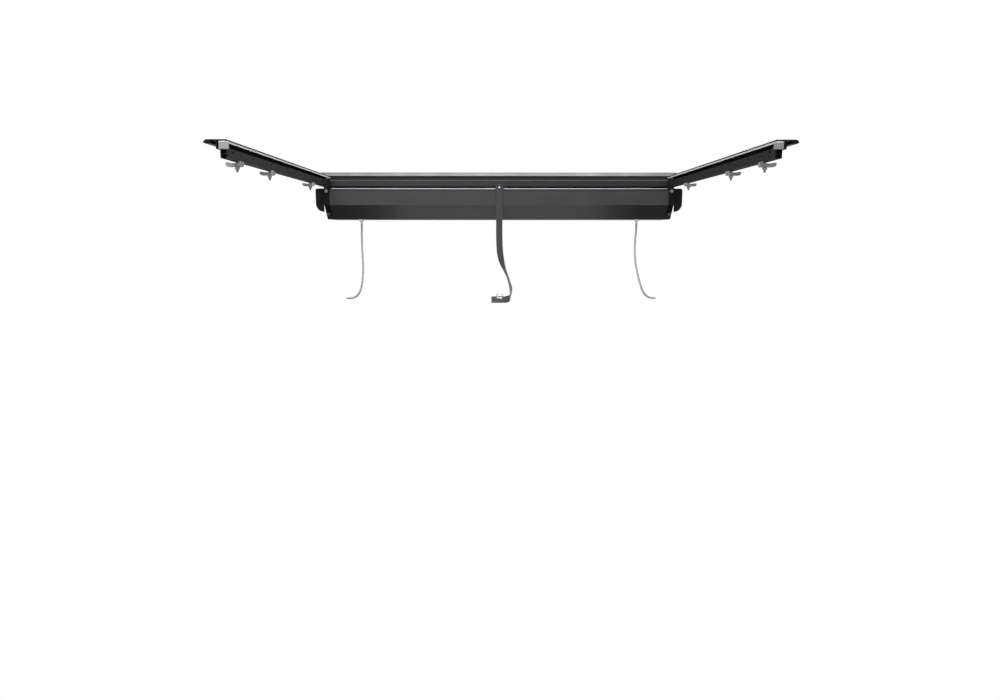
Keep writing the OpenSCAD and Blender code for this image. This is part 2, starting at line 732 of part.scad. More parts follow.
// A carriage closes the bar's end, guides the latch rod and carries two rollers into the rail's channel
module bar_carriage(side) {
    plate_in = bar_x;
    plate_out = bar_x + end_plate_t;
    arm_half = 20;
    color("#2c2d30") on_side(side) difference() {
        union() {
            along_x(plate_in, plate_out) polygon([
                [bar_back + 0.5, bar_z + 3], [bar_back + 3, bar_z + 0.5],
                [bar_front - 0.5, bar_z + 0.5], [bar_front - 0.5, bar_top - 0.5],
                [bar_back + 3, bar_top - 0.5], [bar_back + 0.5, bar_top - 3]
            ]);
            box([plate_in - plug_len, bar_back + bar_wall, bar_z + bar_wall],
                [plate_in, bar_front - bar_wall, bar_top - bar_wall]);
            box([plate_in, bar_y - arm_half, arm_z], [arm_out, bar_y + arm_half, arm_top]);
        }
        rod_x(rod_tip_r + guide_gap, plate_in - plug_len - cut, plate_out + cut, bar_y, latch_z);
        for (y = roller_y) rod_x(axle_r, arm_out - axle_fit, arm_out + cut, y, roller_z);
    }
}

module roller_axles() {
    head_x = roller_x + roller_w + 0.2;
    color("#bfc1c3") for (side = [-1, 1], y = roller_y) on_side(side) {
        rod_x(axle_r, arm_out - axle_fit, head_x, y, roller_z);
        rod_x(axle_head_r, head_x, head_x + 1.1, y, roller_z);
    }
}

module roller(side, which) {
    hollow_r = roller_r - 2;
    color("#d8d6cc") on_side(side) translate([roller_x, roller_y[which], roller_z]) rotate([0, 90, 0])
        difference() {
            cylinder(r = roller_r, h = roller_w);
            translate([0, 0, -cut]) cylinder(r = axle_r + bore_gap, h = roller_w + 2 * cut);
            translate([0, 0, roller_w - 1.5]) difference() {
                cylinder(r = hollow_r, h = 1.5 + cut);
                translate([0, 0, -cut]) cylinder(r = axle_head_r + 0.5, h = 1.5 + 3 * cut);
            }
        }
}

rod_top = latch_z + rod_t / 2;
cam_low = rod_top + 0.5;
lock_low = cam_low + cam_t + 0.3;

module lock_cylinder() {
    flange_r = 13.5;
    color("#9fa2a5") translate([0, bar_y, 0]) difference() {
        union() {
            rod_z(lock_r, lock_low, bar_top, 0, 0);
            rod_z(flange_r, bar_top, bar_top + 1.5, 0, 0);
        }
        rod_z(plug_r + bore_gap, lock_low - cut, bar_top + 3, 0, 0);
    }
}

module lock_cam() {
    color("#b4b6b8") translate([0, bar_y, 0]) {
        difference() {
            rod_z(plug_r, cam_low, bar_top + 1.2, 0, 0);
            box([-1, -4, bar_top - 1], [1, 4, bar_top + 3]);
        }
        rod_z(cam_r, cam_low, cam_low + cam_t, 0, 0);
        for (s = [-1, 1])
            rod_z(pin_r, latch_z - rod_t / 2 - 1, cam_low, -s * latch_stroke / 2, s * latch_stroke / 2);
    }
}

// The rod's flat end reaches past the cam's axis on one side and takes the cam's pin in a cross slot
module latch_rod(side) {
    pin_at = latch_stroke / 2;
    slack = 0.6;
    slot_low = pin_at - pin_r - slack;
    slot_high = pin_orbit + pin_r + slack;
    flat_end = rod_end - 42;
    neck_x = latch_stroke + 14;
    color("#aeb1b4") translate([0, bar_y, 0]) rotate([0, 0, side > 0 ? 0 : 180]) difference() {
        union() {
            box([neck_x, -rod_w / 2, latch_z - rod_t / 2], [flat_end, rod_w / 2, rod_top]);
            box([-pin_at - pin_r - 4, 1, latch_z - rod_t / 2], [neck_x, slot_high + 3, rod_top]);
            rod_x(rod_tip_r, flat_end, rod_end, 0, latch_z);
        }
        box([-pin_at - pin_r - slack, slot_low, latch_z - rod_t],
            [-pin_at + pin_r + slack, slot_high, rod_top + cut]);
    }
}

module strap_rivet() {
    outer = bar_back - tab_t - strap_t;
    color("#dcdee0") {
        rod_y(rivet_head_r, outer - 2.5, outer, 0, rivet_z);
        rod_y(rivet_r, outer, bar_back, 0, rivet_z);
    }
}

// Section 1 hooks onto the lead bar; each next one runs a level lower and goes a share of the way
module curtain_section(k) {
    top = section_top - (k - 1) * level_step;
    color("#27282a") {
        box([-section_x, section_back, top - section_t], [section_x, section_front, top]);
        if (k == 1) {
            box([-bar_x, bar_front, bar_top - 10], [bar_x, bar_front + section_t, top]);
            box([-bar_x, bar_front, top - section_t], [bar_x, section_back, top]);
        }
    }
}

rail(-1);  // rail_left
rail(1);  // rail_right
rail_strip(-1);  // rail_strip_left
rail_strip(1);  // rail_strip_right
rail_seal(-1);  // rail_seal_left
rail_seal(1);  // rail_seal_right
rail_end_cap(-1);  // rail_end_cap_left
rail_end_cap(1);  // rail_end_cap_right
clamp(-1, clamp_places[0]);  // clamp_left_1
clamp(-1, clamp_places[1]);  // clamp_left_2
clamp(-1, clamp_places[2]);  // clamp_left_3
clamp(1, clamp_places[0]);  // clamp_right_1
clamp(1, clamp_places[1]);  // clamp_right_2
clamp(1, clamp_places[2]);  // clamp_right_3
clamp_bolts();
clamp_nuts();
canister_front_panel();
canister_rear_panel();
canister_bottom_tray();
canister_lip();
canister_end(-1);  // canister_end_left
canister_end(1);  // canister_end_right
spiral_track(-1);  // spiral_track_left
spiral_track(1);  // spiral_track_right
corner_bracket(-1);  // corner_bracket_left
corner_bracket(1);  // corner_bracket_right
bracket_bolts();
lid();
lid_end_cap(-1);  // lid_end_cap_left
lid_end_cap(1);  // lid_end_cap_right
lid_wiper();
lid_screws();
stored_slats();
slat_guides();
drain_fittings();
drain_tube(drain_left);  // drain_tube_left
drain_tube(drain_right);  // drain_tube_right
lead_bar();
bar_seal();
bar_carriage(-1);  // bar_carriage_left
bar_carriage(1);  // bar_carriage_right
roller_axles();
roller(-1, 0);  // roller_left_1
roller(-1, 1);  // roller_left_2
roller(1, 0);  // roller_right_1
roller(1, 1);  // roller_right_2
lock_cylinder();
lock_cam();
latch_rod(-1);  // latch_rod_left
latch_rod(1);  // latch_rod_right
strap_rivet();
pull_strap();
strap_ring();
curtain_section(1);  // curtain_section_1
curtain_section(2);  // curtain_section_2
curtain_section(3);  // curtain_section_3
curtain_section(4);  // curtain_section_4
curtain_section(5);  // curtain_section_5
curtain_section(6);  // curtain_section_6
curtain_section(7);  // curtain_section_7
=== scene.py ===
"""Looks of a roll-up tonneau cover: aluminium rails, a canister with the wound slats, a lead bar
with its strap, and drain tubes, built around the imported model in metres."""

import json
import math

import bmesh
import bpy
from bpy.props import FloatProperty, FloatVectorProperty, PointerProperty
from mathutils import Matrix, Vector


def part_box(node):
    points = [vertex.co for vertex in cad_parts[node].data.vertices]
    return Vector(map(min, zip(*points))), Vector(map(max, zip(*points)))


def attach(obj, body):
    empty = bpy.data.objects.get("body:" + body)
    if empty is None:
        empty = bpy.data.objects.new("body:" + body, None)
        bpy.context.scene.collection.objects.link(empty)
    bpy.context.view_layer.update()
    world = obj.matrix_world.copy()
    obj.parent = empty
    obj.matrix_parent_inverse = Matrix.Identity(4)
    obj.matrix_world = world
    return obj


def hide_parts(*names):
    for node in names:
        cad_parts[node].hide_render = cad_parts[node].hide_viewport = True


bl_info = {
    "name": "Roll-up tonneau cover",
    "version": (1, 0, 0),
    "blender": (4, 5, 0),
    "location": "3D View > Sidebar > Tonneau cover",
    "description": "Makes the visible pieces of a roll-up pickup bed cover around its packed model",
    "category": "Object",
}

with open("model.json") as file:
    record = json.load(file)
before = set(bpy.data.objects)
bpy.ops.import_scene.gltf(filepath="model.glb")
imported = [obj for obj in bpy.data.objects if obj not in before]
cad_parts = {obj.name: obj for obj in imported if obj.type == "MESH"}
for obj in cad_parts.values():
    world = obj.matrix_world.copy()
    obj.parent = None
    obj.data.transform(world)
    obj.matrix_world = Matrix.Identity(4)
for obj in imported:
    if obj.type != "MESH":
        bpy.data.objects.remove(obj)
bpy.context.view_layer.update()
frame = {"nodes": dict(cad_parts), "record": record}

MM = 0.001
SIDES = {"left": -1, "right": 1}
SECTIONS = range(1, 8)
SLATS_PER_SECTION = 4
FLOOR_Z = -0.569  # the bed floor, which the strap and the tubes' ends lie on
CARD_Z = FLOOR_Z + 2 * MM
CAMERA_PLACE = (-0.0204, -3.9624, -0.2603)
CAMERA_DOWN = math.radians(8.491)
CAMERA_RIGHT = math.radians(0.373)

# Routes of the flexible pieces, in metres
DRAIN_ROUTES = {
    "left": [
        (-0.661, -0.212, -0.206), (-0.661, -0.212, -0.226), (-0.662, -0.212, -0.250),
        (-0.662, -0.212, -0.280), (-0.662, -0.212, -0.310), (-0.661, -0.212, -0.340),
        (-0.660, -0.212, -0.370), (-0.659, -0.212, -0.398), (-0.659, -0.212, -0.424),
        (-0.661, -0.212, -0.450), (-0.664, -0.212, -0.476), (-0.669, -0.211, -0.502),
        (-0.676, -0.210, -0.526), (-0.687, -0.208, -0.545), (-0.703, -0.205, -0.558),
        (-0.724, -0.203, -0.564), (-0.746, -0.202, -0.564),
    ],
    "right": [
        (0.661, -0.212, -0.206), (0.661, -0.212, -0.226), (0.660, -0.212, -0.250),
        (0.658, -0.212, -0.280), (0.657, -0.212, -0.310), (0.657, -0.212, -0.338),
        (0.659, -0.212, -0.366), (0.662, -0.212, -0.392), (0.667, -0.211, -0.418),
        (0.673, -0.211, -0.444), (0.680, -0.210, -0.470), (0.688, -0.210, -0.496),
        (0.697, -0.209, -0.520), (0.709, -0.207, -0.541), (0.725, -0.205, -0.556),
        (0.745, -0.203, -0.563), (0.766, -0.202, -0.564),
    ],
}
# The strap's points also hold the direction across it and its thickness in millimetres
STRAP_ROUTE = [
    (0, -0.293, -0.035, 1, 0, 0, 2), (0, -0.293, -0.080, 1, 0, 0, 2),
    (0, -0.293, -0.125, 1, 0, 0, 2), (0, -0.293, -0.170, 1, 0, 0, 2),
    (0, -0.293, -0.215, 1, 0, 0, 2), (0, -0.294, -0.258, 20, -1, 0, 2),
    (0.001, -0.295, -0.298, 10, -1, 0, 2), (0.003, -0.297, -0.334, 10, -2, 0, 2),
    (0.008, -0.300, -0.367, 9, -4, 0, 2), (0.016, -0.305, -0.396, 7, -7, 0, 2),
    (0.027, -0.313, -0.424, 4, -9, 1, 2), (0.038, -0.325, -0.452, 2, -9, 3, 2),
    (0.047, -0.341, -0.480, 2, -8, 5, 2), (0.053, -0.361, -0.505, 3, -7, 5, 2),
    (0.055, -0.384, -0.526, 3, -6, 7, 2), (0.052, -0.406, -0.540, 2, -4, 9, 2),
    (0.043, -0.421, -0.549, 0, -1, 9, 4), (0.029, -0.428, -0.553, 0, 1, 9, 5),
    (0.012, -0.431, -0.553, 0, 2, 9, 5), (-0.005, -0.432, -0.553, 0, 3, 9, 5),
    (-0.021, -0.432, -0.553, 0, 3, 9, 5), (-0.037, -0.432, -0.553, 0, 3, 9, 5),
]
RING_CENTRE = Vector((0.001, -0.431, -0.546))
RING_RADIUS = 14 * MM
RING_LEG = 7 * MM
RING_WIRE = 2 * MM


def linear(hex_colour):
    """An sRGB hex colour as linear red, green, blue and an alpha of 1."""
    parts = [int(hex_colour[i:i + 2], 16) / 255 for i in (1, 3, 5)]
    return tuple(p / 12.92 if p <= 0.04045 else ((p + 0.055) / 1.055) ** 2.4 for p in parts) + (1.0,)


def colour(name, description, hex_colour):
    """A colour setting of the panel."""
    return FloatVectorProperty(name=name, description=description, default=linear(hex_colour),
                               size=4, min=0, max=1, subtype="COLOR")


def length(name, description, millimetres, low, high):
    """A length setting of the panel, given in millimetres and kept in metres."""
    return FloatProperty(name=name, description=description, default=millimetres * MM,
                         min=low * MM, max=high * MM, unit="LENGTH", precision=5)


class CoverSizes(bpy.types.PropertyGroup):
    """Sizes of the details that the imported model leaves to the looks."""

    edge_round: length("Edge rounding", "Width of the rounding on extruded and bent edges", 0.7, 0.2, 1.5)
    cast_round: length("Cast rounding", "Width of the rounding on cast edges", 1.6, 0.4, 3)
    bolt_round: length("Bolt rounding", "Width of the rounding on bolt heads and nuts", 0.5, 0.1, 1)
    button_round: length("Bracket bolt rounding", "Width of the rounding on their heads", 2, 0.5, 3)
    slat_crown: length("Slat crown", "Height of a slat's crown over its edges", 0.3, 0, 0.4)
    joint_width: length("Slat joint width", "Width of the groove between two slats", 2.4, 1, 4)
    joint_depth: length("Slat joint depth", "Depth of the groove between two slats", 0.7, 0.2, 0.8)
    strap_width: length("Strap width", "Width of the pull strap's webbing", 30, 26, 36)
    thread_pitch: length("Stitch pitch", "Distance from one stitch to the next", 4, 2.5, 6)
    thread_size: length("Thread size", "Thickness of the strap's sewing thread", 0.7, 0.3, 1.2)
    tube_outside: length("Tube diameter", "Outside diameter of a drain tube", 9.5, 8, 12)
    tube_wall: length("Tube wall", "Wall thickness of a drain tube", 1.6, 1, 2.5)
    screw_pitch: length("Screw pitch", "Distance between the threads of an M8 bolt", 1.25, 1, 2)
    lens: length("Camera lens", "Focal length of the camera on a 36 mm wide sensor", 27.674, 18, 85)


class CoverColours(bpy.types.PropertyGroup):
    """Colours of the finishes."""

    coat: colour("Powder coat", "Satin black coat on the extrusions and the lid", "#151618")
    anodise: colour("Black anodise", "Dull black anodised rails", "#0d0d0e")
    panel: colour("Canister panel", "Satin black coat on the canister's rear panel", "#29292b")
    slat: colour("Slats", "Matte black coat on the slats", "#1b1c1e")
    bright: colour("Bright edge", "Satin aluminium along the canister's lip", "#94979a")
    # The glide strip is a real part, and its pale colour is also a painted highlight for the white reflection
    # along the rails' inner lip
    strip: colour("Glide strip", "Pale polymer strip in the rails", "#c6c8ca")
    block: colour("End block", "Sandblasted aluminium at the rails' ends", "#b2b4b6")
    cast: colour("Clamp", "Tumbled cast aluminium", "#bfc1c3")
    zinc: colour("Zinc", "Zinc plating on the bolts and other hardware", "#bcbfc3")
    rubber: colour("Rubber", "Seals and wiper", "#101011")
    track: colour("Track", "Off-white polyethylene", "#dfddd3")
    moulding: colour("Moulding", "Black glass-filled nylon", "#1c1c1e")
    # Partly painted shade: the black coat is darkened further to stand for the shadow the brackets sit in
    steel: colour("Bracket steel", "Black coated steel", "#0b0b0c")
    webbing: colour("Webbing", "Woven black nylon", "#27272a")
    thread: colour("Thread", "Sewing thread on the strap", "#3f4045")
    vinyl: colour("Vinyl", "Cloudy clear tube", "#c3c8c3")
    fitting: colour("Fitting", "White moulded nylon", "#eeeee9")
    floor: colour("Floor", "Dark bed floor that the pieces reflect", "#2a2b2d")


# ---- finishes ----

def add(tree, kind, inputs=None, **settings):
    """Adds a node: settings are its attributes, and an input is a value or a socket to link from."""
    made = tree.nodes.new(kind)
    for name, value in settings.items():
        setattr(made, name, value)
    for socket, value in (inputs or {}).items():
        if isinstance(value, bpy.types.NodeSocket):
            tree.links.new(value, made.inputs[socket])
        else:
            made.inputs[socket].default_value = value
    return made


def start_finish(name, base, roughness, inputs=None):
    """A material with one shader set to these constants; returns it, its node tree and the shader."""
    material = bpy.data.materials.new(name)
    material.use_nodes = True
    tree = material.node_tree
    shader = tree.nodes["Principled BSDF"]
    for socket, value in {"Base Color": base, "Roughness": roughness, **(inputs or {})}.items():
        shader.inputs[socket].default_value = value
    return material, tree, shader


def shade(tone, times):
    """A colour made lighter or darker."""
    return tuple(min(1.0, part * times) for part in tone[:3]) + (1.0,)


def vary(tree, shader, base, spread, rough, grain_mm, depth_mm, stretch=(1, 1, 1)):
    """Lets noise of the grain's real size vary a finish's tone by a spread, its roughness and its height."""
    place = add(tree, "ShaderNodeTexCoord").outputs["Object"]
    place = add(tree, "ShaderNodeMapping", {"Vector": place, "Scale": stretch}).outputs["Vector"]
    fine = add(tree, "ShaderNodeTexNoise",
               {"Vector": place, "Scale": 1 / (grain_mm * MM), "Detail": 3.0}).outputs["Fac"]
    broad = add(tree, "ShaderNodeTexNoise",
                {"Vector": place, "Scale": 1 / (40 * grain_mm * MM), "Detail": 2.0}).outputs["Fac"]
    mixed = add(tree, "ShaderNodeMath", {0: fine, 1: broad}, operation="ADD").outputs["Value"]
    ramp = add(tree, "ShaderNodeMapRange",
               {"Value": mixed, "From Min": 0.7, "From Max": 1.3}).outputs["Result"]
    tone = add(tree, "ShaderNodeMix", {"Factor": ramp, 6: shade(base, 1 - spread),
                                       7: shade(base, 1 + spread)}, data_type="RGBA")
    gloss = add(tree, "ShaderNodeMapRange", {"Value": ramp, "To Min": rough[0], "To Max": rough[1]})
    bump = add(tree, "ShaderNodeBump", {"Height": fine, "Distance": depth_mm * MM, "Strength": 0.6})
    tree.links.new(tone.outputs[2], shader.inputs["Base Color"])
    tree.links.new(gloss.outputs["Result"], shader.inputs["Roughness"])
    tree.links.new(bump.outputs["Normal"], shader.inputs["Normal"])


def satin_powder_coat(name, tones):
    """Powder-coated aluminium extrusion: black, with a soft sheen over faint orange peel of about 2.5 mm."""
    material, tree, shader = start_finish(name, tones.coat, 0.4, {"Specular IOR Level": 0.45})
    vary(tree, shader, tones.coat, 0.12, (0.34, 0.46), 2.5, 0.03)
    return material


def black_anodise(name, tones):
    """Black anodised aluminium: nearly black and dull, with die lines about 2 mm apart along the rail."""
    material, tree, shader = start_finish(name, tones.anodise, 0.5, {"Specular IOR Level": 0.25})
    vary(tree, shader, tones.anodise, 0.25, (0.42, 0.56), 2, 0.03, (1, 0.02, 1))
    return material


def panel_powder_coat(name, tones):
    """Powder-coated aluminium sheet: greyer and flatter than the extrusions, with 3 mm orange peel."""
    material, tree, shader = start_finish(name, tones.panel, 0.45, {"Specular IOR Level": 0.5})
    vary(tree, shader, tones.panel, 0.14, (0.4, 0.54), 3, 0.04)
    return material


def fine_texture_coat(name, tones):
    """Fine-texture powder coat on the slats: matte and sandy, its 0.3 mm grain drawn at 1 mm to show."""
    material, tree, shader = start_finish(name, tones.slat, 0.6, {"Specular IOR Level": 0.4})
    vary(tree, shader, tones.slat, 0.2, (0.52, 0.68), 1, 0.08)
    return material


def satin_aluminium(name, tones):
    """Satin aluminium edge: bright, with drawing lines 0.8 mm apart along its length."""
    material, tree, shader = start_finish(name, tones.bright, 0.38, {"Metallic": 1.0})
    vary(tree, shader, tones.bright, 0.08, (0.3, 0.46), 0.8, 0.02, (0.01, 1, 1))
    return material


def glide_polymer_painted_highlight(name, tones):
    """Extruded low-friction strip: pale and waxy, so light goes a little way in. Its pale tone is partly a
    painted highlight, standing for the white reflection along the rails' inner lip.
    """
    material, tree, shader = start_finish(
        name, tones.strip, 0.45, {"Subsurface Weight": 0.15, "Subsurface Scale": 0.002})
    vary(tree, shader, tones.strip, 0.04, (0.4, 0.5), 4, 0.02, (1, 0.05, 1))
    return material


def sandblasted_aluminium(name, tones):
    """Sandblasted aluminium: pale and evenly dull. Its 0.2 mm grit is drawn at 0.6 mm to show."""
    material, tree, shader = start_finish(name, tones.block, 0.55, {"Metallic": 1.0})
    vary(tree, shader, tones.block, 0.1, (0.48, 0.62), 0.6, 0.05)
    return material


def tumbled_cast_aluminium(name, tones):
    """Cast aluminium, tumbled: bright on its high spots, with 1.5 mm dimples and cloudy patches."""
    material, tree, shader = start_finish(name, tones.cast, 0.42, {"Metallic": 1.0})
    vary(tree, shader, tones.cast, 0.18, (0.3, 0.55), 1.5, 0.12)
    return material


def zinc_plate(name, tones):
    """Zinc-plated steel: bright and slightly mottled, with crystals of about 3 mm."""
    material, tree, shader = start_finish(name, tones.zinc, 0.3, {"Metallic": 1.0})
    vary(tree, shader, tones.zinc, 0.1, (0.22, 0.4), 3, 0.02)
    return material


def extruded_rubber(name, tones):
    """Extruded EPDM rubber: dull black, with faint lines 2 mm apart along the extrusion."""
    material, tree, shader = start_finish(name, tones.rubber, 0.8, {"Specular IOR Level": 0.35})
    vary(tree, shader, tones.rubber, 0.25, (0.7, 0.88), 2, 0.05, (1, 0.03, 1))
    return material


def milled_polyethylene(name, tones):
    """UHMW polyethylene, milled: off-white and waxy, with cutter marks 1.5 mm apart."""
    material, tree, shader = start_finish(
        name, tones.track, 0.5, {"Subsurface Weight": 0.2, "Subsurface Scale": 0.003})
    vary(tree, shader, tones.track, 0.05, (0.42, 0.58), 1.5, 0.04)
    return material


def glass_filled_nylon(name, tones):
    """Moulded glass-filled nylon: black, with the dull flow marks of its short fibres, 5 mm across."""
    material, tree, shader = start_finish(name, tones.moulding, 0.55, {"IOR": 1.53})
    vary(tree, shader, tones.moulding, 0.22, (0.45, 0.66), 5, 0.03)
    return material


def coated_steel_painted_shade(name, tones):
    """Powder-coated pressed steel: nearly black and glossier than the aluminium, with 3 mm orange peel. Part
    of its darkness is painted shade, for the shadow the brackets sit in at the bed's ends.
    """
    material, tree, shader = start_finish(name, tones.steel, 0.34, {"Specular IOR Level": 0.25})
    vary(tree, shader, tones.steel, 0.15, (0.28, 0.4), 3, 0.04)
    return material


def nylon_webbing(name, tones):
    """Woven nylon webbing: diagonal ribs 1.8 mm apart that meet down the middle, with a soft sheen."""
    material, tree, shader = start_finish(
        name, tones.webbing, 0.7, {"Sheen Weight": 0.35, "Sheen Roughness": 0.4})
    spot = add(tree, "ShaderNodeSeparateXYZ", {"Vector": add(tree, "ShaderNodeUVMap").outputs["UV"]})
    across = add(tree, "ShaderNodeMath", {0: spot.outputs["X"]}, operation="ABSOLUTE").outputs["Value"]
    slant = add(tree, "ShaderNodeMath", {0: across, 1: spot.outputs["Y"]}, operation="ADD").outputs["Value"]
    turn = add(tree, "ShaderNodeMath", {0: slant, 1: 2 * math.pi / (1.8 * MM)}, operation="MULTIPLY")
    rib = add(tree, "ShaderNodeMath", {0: turn.outputs["Value"]}, operation="SINE").outputs["Value"]
    rise = add(tree, "ShaderNodeMapRange",
               {"Value": rib, "From Min": -1.0, "From Max": 1.0}).outputs["Result"]
    tone = add(tree, "ShaderNodeMix", {"Factor": rise, 6: shade(tones.webbing, 0.6),
                                       7: shade(tones.webbing, 1.25)}, data_type="RGBA")
    bump = add(tree, "ShaderNodeBump", {"Height": rise, "Distance": 0.25 * MM, "Strength": 0.8})
    tree.links.new(tone.outputs[2], shader.inputs["Base Color"])
    tree.links.new(bump.outputs["Normal"], shader.inputs["Normal"])
    return material


def sewing_thread(name, tones):
    """Bonded polyester thread: a little lighter and shinier than the webbing, with 0.5 mm twist."""
    material, tree, shader = start_finish(name, tones.thread, 0.5, {"Sheen Weight": 0.2})
    vary(tree, shader, tones.thread, 0.2, (0.4, 0.6), 0.5, 0.05)
    return material


def cloudy_vinyl(name, tones):
    """Extruded clear vinyl, slightly cloudy: light comes through it softly and glints along its sides."""
    material, tree, shader = start_finish(
        name, tones.vinyl, 0.22, {"IOR": 1.53, "Transmission Weight": 0.55, "Specular IOR Level": 0.6})
    vary(tree, shader, tones.vinyl, 0.06, (0.16, 0.28), 6, 0.04, (1, 1, 0.2))
    return material


def moulded_nylon(name, tones):
    """Moulded white nylon: smooth, with a slight bloom, so light goes a little way in."""
    material, tree, shader = start_finish(
        name, tones.fitting, 0.35, {"IOR": 1.53, "Subsurface Weight": 0.2, "Subsurface Scale": 0.002})
    vary(tree, shader, tones.fitting, 0.04, (0.28, 0.42), 4, 0.02)
    return material


def seen_or_lit(tree, seen, lit):
    """Mixes two shaders, for what the camera sees, directly or through something clear, and for the rest."""
    path = add(tree, "ShaderNodeLightPath").outputs
    straight = add(tree, "ShaderNodeMath", {0: path["Is Camera Ray"], 1: path["Is Transmission Ray"]},
                   operation="MAXIMUM").outputs["Value"]
    return add(tree, "ShaderNodeMixShader", {0: straight, 1: lit, 2: seen}).outputs["Shader"]


def studio_floor(name, tones):
    """Studio floor: even and pale to the camera, and a dull dark bed floor in the pieces' reflections."""
    material, tree, shader = start_finish(name, tones.floor, 0.9, {"Specular IOR Level": 0.2})
    vary(tree, shader, tones.floor, 0.1, (0.8, 0.95), 30, 0.01)
    pale = add(tree, "ShaderNodeEmission", {"Color": linear("#ffffff"), "Strength": 1.0}).outputs["Emission"]
    both_ways = seen_or_lit(tree, pale, shader.outputs["BSDF"])
    tree.links.new(both_ways, tree.nodes["Material Output"].inputs["Surface"])
    return material


# Each slot of the record, each other look and the stage's floor, with its material's name and what makes it
FINISHES = {
    "powder_coat": ("Satin black powder coat", satin_powder_coat),
    "anodised": ("Black anodised aluminium", black_anodise),
    "rear_panel": ("Powder-coated aluminium sheet", panel_powder_coat),
    "slat": ("Fine-texture powder coat", fine_texture_coat),
    "bright_edge": ("Satin aluminium", satin_aluminium),
    "glide": ("Extruded glide polymer with painted highlight", glide_polymer_painted_highlight),
    "end_block": ("Sandblasted aluminium", sandblasted_aluminium),
    "cast": ("Tumbled cast aluminium", tumbled_cast_aluminium),
    "zinc": ("Zinc-plated steel", zinc_plate),
    "rubber": ("Extruded EPDM rubber", extruded_rubber),
    "track": ("Milled UHMW polyethylene", milled_polyethylene),
    "moulding": ("Moulded glass-filled nylon", glass_filled_nylon),
    "steel_black": ("Powder-coated steel with painted shade", coated_steel_painted_shade),
    "webbing": ("Woven nylon webbing", nylon_webbing),
    "thread": ("Bonded polyester thread", sewing_thread),
    "vinyl": ("Cloudy clear vinyl", cloudy_vinyl),
    "fitting": ("Moulded white nylon", moulded_nylon),
    "floor": ("Painted studio floor", studio_floor),
}
SLOT_OF = {part["node"]: part["material_slot"] for part in frame["record"]["subparts"]}
BODY_OF = {node: body for body, nodes in frame["record"]["behaviour"]["bodies"].items() for node in nodes}


def finish(slot):
    """The material of a slot, made when it is first asked for."""
    name, make = FINISHES[slot]
    return bpy.data.materials.get(name) or make(name, bpy.context.scene.cover_colours)


# ---- shapes ----

def new_piece(name, bm, slot, body, look=None, smooth_under=40):
    """Turns a bmesh into a piece that rides on a body, with its slot's finish or another look."""
    bmesh.ops.recalc_face_normals(bm, faces=bm.faces)
    mesh = bpy.data.meshes.new(name)
    bm.to_mesh(mesh)
    bm.free()
    mesh.materials.append(finish(look or slot))
    mesh.shade_smooth()
    mesh.set_sharp_from_angle(angle=math.radians(smooth_under))
    piece = bpy.data.objects.new(name, mesh)
    bpy.context.scene.collection.objects.link(piece)
    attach(piece, body)
    return piece


def rounded(node, width, segments=2, suffix="finished", look=None):
    """A copy of a node's shape with its edges rounded, which is shown in its place."""
    bm = bmesh.new()
    bm.from_mesh(frame["nodes"][node].data)
    bmesh.ops.remove_doubles(bm, verts=bm.verts, dist=0.01 * MM)
    bmesh.ops.dissolve_limit(bm, angle_limit=math.radians(1), verts=bm.verts, edges=bm.edges)
    piece = new_piece(f"{node}_{suffix}", bm, SLOT_OF[node], BODY_OF[node], look=look)
    bevel = piece.modifiers.new("Rounded edges", "BEVEL")
    bevel.width = width
    bevel.segments = segments
    bevel.limit_method = "ANGLE"
    bevel.angle_limit = math.radians(35)
    bevel.use_clamp_overlap = True
    piece.modifiers.new("Even shading", "WEIGHTED_NORMAL").keep_sharp = True
    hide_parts(node)
    return piece


def keep_only(piece, wanted):
    """Removes the faces of a piece whose middle isn't wanted."""
    bm = bmesh.new()
    bm.from_mesh(piece.data)
    away = [face for face in bm.faces if not wanted(face.calc_center_median())]
    bmesh.ops.delete(bm, geom=away, context="FACES")
    bm.to_mesh(piece.data)
    bm.free()


def refinish(*nodes):
    """Gives nodes whose shape is right as it is their finish."""
    for node in nodes:
        frame["nodes"][node].data.materials.clear()
        frame["nodes"][node].data.materials.append(finish(SLOT_OF[node]))


def both(name):
    """The left and the right node of a pair."""
    return [f"{name}_{side}" for side in SIDES]


def smooth_line(points, steps):
    """Points along a smooth curve through the given vectors, with so many steps between two of them."""
    line = []
    for i in range(len(points) - 1):
        before = points[i - 1] if i else 2 * points[0] - points[1]
        after = points[i + 2] if i + 2 < len(points) else 2 * points[-1] - points[-2]
        a, b = points[i], points[i + 1]
        for k in range(steps):
            t = k / steps
            line.append(0.5 * (2 * a + (b - before) * t + (2 * before - 5 * a + 4 * b - after) * t * t
                               + (3 * a - before - 3 * b + after) * t ** 3))
    return line + [points[-1].copy()]


def headings(line, closed=False):
    """The direction of a line at each of its points."""
    n = len(line)
    if closed:
        return [(line[(i + 1) % n] - line[i - 1]).normalized() for i in range(n)]
    return [(line[min(i + 1, n - 1)] - line[max(i - 1, 0)]).normalized() for i in range(n)]


def skin(bm, rings, closed=False):
    """Joins rings of points with quads and closes the two ends, or joins the last ring to the first."""
    rows = [[bm.verts.new(p) for p in ring] for ring in rings]
    n = len(rows[0])
    pairs = list(zip(rows, rows[1:])) + ([(rows[-1], rows[0])] if closed else [])
    for near, far in pairs:
        for j in range(n):
            bm.faces.new((near[j], near[(j + 1) % n], far[(j + 1) % n], far[j]))
    if not closed:
        bm.faces.new(rows[0][::-1])
        bm.faces.new(rows[-1])
    return rows


